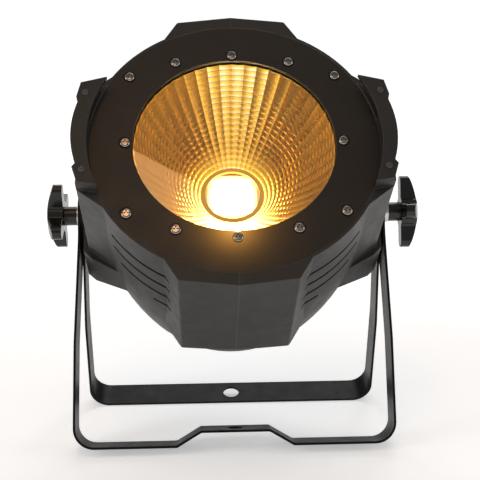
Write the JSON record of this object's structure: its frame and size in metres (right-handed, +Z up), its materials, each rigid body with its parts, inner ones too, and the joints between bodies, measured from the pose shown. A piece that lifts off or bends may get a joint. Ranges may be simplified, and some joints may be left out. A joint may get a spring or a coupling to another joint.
{
  "type": "par can light",
  "caption": "Stage wash light: round tilting head with a fluted reflector and one light source, held by clamping knobs between two U brackets that spread as a floor stand.",
  "frame": {"origin": "on the standing surface, at the middle of the whole light's footprint box", "axes": "+Z up, -Y towards the side that the light shines to, X along the tilt axis"},
  "size_m": [0.3413, 0.3226, 0.3849],
  "materials": {
    "housing_plastic": "fine matt moulded texture",
    "bezel_paint": "satin black powder coat",
    "screw_chrome": "bright plated",
    "clear_glass": "clear toughened",
    "black_rubber": "matt",
    "reflector_metal": "bright fluted and stepped",
    "holder_plastic": "moulded",
    "ceramic_board": "ceramic",
    "phosphor": "phosphor coat",
    "bare_aluminium": "extruded and milled",
    "screw_steel": "zinc plated",
    "screw_black": "black oxide",
    "fan_plastic": "moulded",
    "panel_paint": "black powder coat",
    "guard_steel": "black powder coat",
    "display_window": "tinted acrylic",
    "display_module": "moulded",
    "circuit_board": "solder mask",
    "brass": "turned",
    "switch_plastic": "moulded",
    "button_plastic": "moulded",
    "power_in_plastic": "moulded",
    "power_out_plastic": "moulded",
    "socket_metal": "black coated zinc",
    "fuse_plastic": "moulded",
    "zinc_steel": "zinc plated sheet",
    "knob_plastic": "glossy moulded",
    "bracket_paint": "satin black powder coat"
  },
  "bodies": {
    "front_bracket": {"bracket_front": "bracket_paint"},
    "rear_bracket": {"bracket_rear": "bracket_paint"},
    "head": {"bezel_ring": "bezel_paint", "bezel_screws": "screw_chrome", "board_standoffs": "brass", "button_switches": "switch_plastic", "cob_board": "ceramic_board", "cob_emitter": "phosphor", "cob_holder": "holder_plastic", "control_board": "circuit_board", "cover_glass": "clear_glass", "display_module": "display_module", "display_window": "display_window", "dmx_inlet": "socket_metal", "dmx_outlet": "socket_metal", "ear_screws": "screw_black", "fan_frame": "fan_plastic", "fan_guard": "guard_steel", "fan_screws": "screw_steel", "friction_washers": "black_rubber", "fuse_holder": "fuse_plastic", "glass_gasket": "black_rubber", "heat_sink": "bare_aluminium", "housing_left": "housing_plastic", "housing_right": "housing_plastic", "pivot_nuts": "screw_steel", "power_inlet": "power_in_plastic", "power_outlet": "power_out_plastic", "power_supply": "circuit_board", "rear_panel": "panel_paint", "rear_panel_screws": "screw_black", "reflector": "reflector_metal", "safety_eye": "guard_steel", "safety_eye_nut": "screw_steel", "sink_posts": "bare_aluminium", "sink_screws": "screw_steel", "socket_screws": "screw_black", "supply_bracket": "zinc_steel"},
    "fan_rotor": {"fan_rotor": "fan_plastic"},
    "button_menu": {"button_menu": "button_plastic"},
    "button_down": {"button_down": "button_plastic"},
    "button_up": {"button_up": "button_plastic"},
    "button_enter": {"button_enter": "button_plastic"},
    "washer_right": {"knob_washer_right": "screw_steel"},
    "washer_left": {"knob_washer_left": "screw_steel"},
    "knob_right": {"knob_right": "knob_plastic", "knob_stud_right": "screw_steel"},
    "knob_left": {"knob_left": "knob_plastic", "knob_stud_left": "screw_steel"}
  },
  "joints": [
    {"name": "head_tilt", "type": "hinge", "parent": "front_bracket", "child": "head", "pos_m": [0, 0.01554, 0.20745], "axis": [1, 0, 0], "range_deg": [-125, 125]},
    {"name": "bracket_spread", "type": "hinge", "parent": "front_bracket", "child": "rear_bracket", "pos_m": [0, 0.01554, 0.20745], "axis": [1, 0, 0], "range_deg": [-22, 90]},
    {"name": "fan_spin", "type": "hinge", "parent": "head", "child": "fan_rotor", "pos_m": [0, 0.0426, 0.18222], "axis": [0, -0.7314, 0.682], "continuous": true},
    {"name": "knob_travel_right", "type": "slide", "parent": "head", "child": "washer_right", "axis": [1, 0, 0], "range_m": [0, 0.0025]},
    {"name": "knob_turn_right", "type": "hinge", "parent": "washer_right", "child": "knob_right", "pos_m": [0.15, 0.01554, 0.20745], "axis": [1, 0, 0], "range_deg": [0, 720]},
    {"name": "knob_travel_left", "type": "slide", "parent": "head", "child": "washer_left", "axis": [-1, 0, 0], "range_m": [0, 0.0025]},
    {"name": "knob_turn_left", "type": "hinge", "parent": "washer_left", "child": "knob_left", "pos_m": [-0.15, 0.01554, 0.20745], "axis": [-1, 0, 0], "range_deg": [0, 720]},
    {"name": "press_menu", "type": "slide", "parent": "head", "child": "button_menu", "axis": [0, -0.7314, 0.682], "range_m": [0, 0.0008], "stiffness_N_per_m": 900},
    {"name": "press_down", "type": "slide", "parent": "head", "child": "button_down", "axis": [0, -0.7314, 0.682], "range_m": [0, 0.0008], "stiffness_N_per_m": 900},
    {"name": "press_up", "type": "slide", "parent": "head", "child": "button_up", "axis": [0, -0.7314, 0.682], "range_m": [0, 0.0008], "stiffness_N_per_m": 900},
    {"name": "press_enter", "type": "slide", "parent": "head", "child": "button_enter", "axis": [0, -0.7314, 0.682], "range_m": [0, 0.0008], "stiffness_N_per_m": 900}
  ],
  "couplings": [
    {"joint": "knob_turn_right", "follows": "knob_travel_right", "rad_per_m": 5026.5},
    {"joint": "knob_turn_left", "follows": "knob_travel_left", "rad_per_m": 5026.5}
  ]
}
